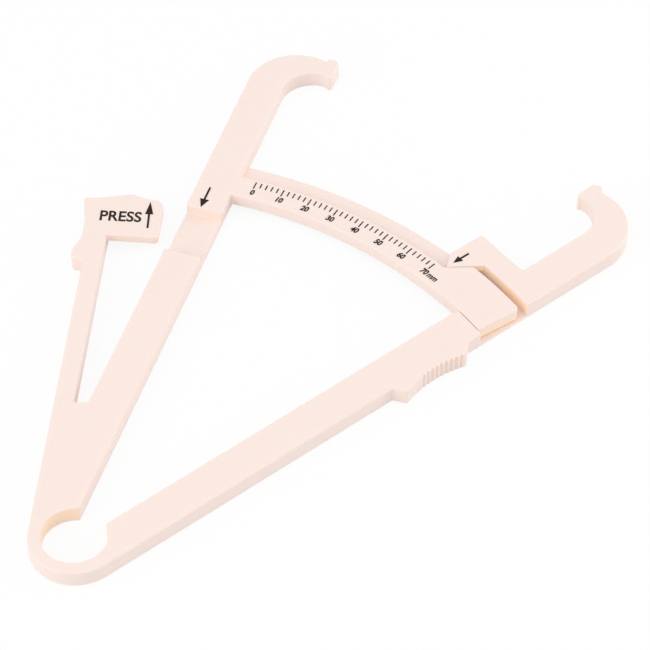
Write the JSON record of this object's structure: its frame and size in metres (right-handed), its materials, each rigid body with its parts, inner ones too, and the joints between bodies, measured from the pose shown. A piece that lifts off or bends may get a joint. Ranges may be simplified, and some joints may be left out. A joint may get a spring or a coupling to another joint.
{
  "type": "skinfold caliper",
  "caption": "Flat moulded caliper with two sprung arms, curved jaws, an arc scale with a pointer and a press lever that shows the jaw force.",
  "frame": {"origin": "axis of the spring ring, about which the jaws close, in the plane of the flat back", "axes": "+Y along the middle line between the open arms, towards the jaws; +Z out of the printed face; +X towards the moving arm"},
  "size_m": [0.1157, 0.1686, 0.0047],
  "materials": {
    "moulding": "warm cream, satin moulded surface",
    "ink": "dark pad-printed ink"
  },
  "bodies": {
    "fixed_side": {"spring_ring": "moulding", "root_web": "moulding", "fixed_arm": "moulding", "fixed_jaw": "moulding", "fixed_jaw_pad": "moulding", "scale_bar": "moulding", "scale_marks": "ink", "scale_numbers": "ink", "fixed_arrow": "ink", "lever_flexure": "moulding"},
    "moving_side": {"moving_arm": "moulding", "guide_floor": "moulding", "jaw_arm": "moulding", "index_tab": "moulding", "index_pointer": "moulding", "index_arrow": "ink", "moving_jaw": "moulding", "moving_jaw_pad": "moulding", "finger_grip": "moulding"},
    "press_lever": {"lever_beam": "moulding", "thumb_rest": "moulding", "lever_head": "moulding", "press_arrow": "ink"}
  },
  "joints": [
    {"name": "jaw_hinge", "type": "hinge", "parent": "fixed_side", "child": "moving_side", "pos_m": [0, 0, 0.0023], "axis": [0, 0, 1], "range_deg": [0, 26.8], "stiffness_Nm_per_rad": 0.3, "deforming": ["spring_ring"]},
    {"name": "lever_hinge", "type": "hinge", "parent": "fixed_side", "child": "press_lever", "pos_m": [-0.02921, 0.03518, 0.0023], "axis": [0, 0, -1], "range_deg": [0, 13], "stiffness_Nm_per_rad": 0.6, "deforming": ["lever_flexure"]}
  ]
}
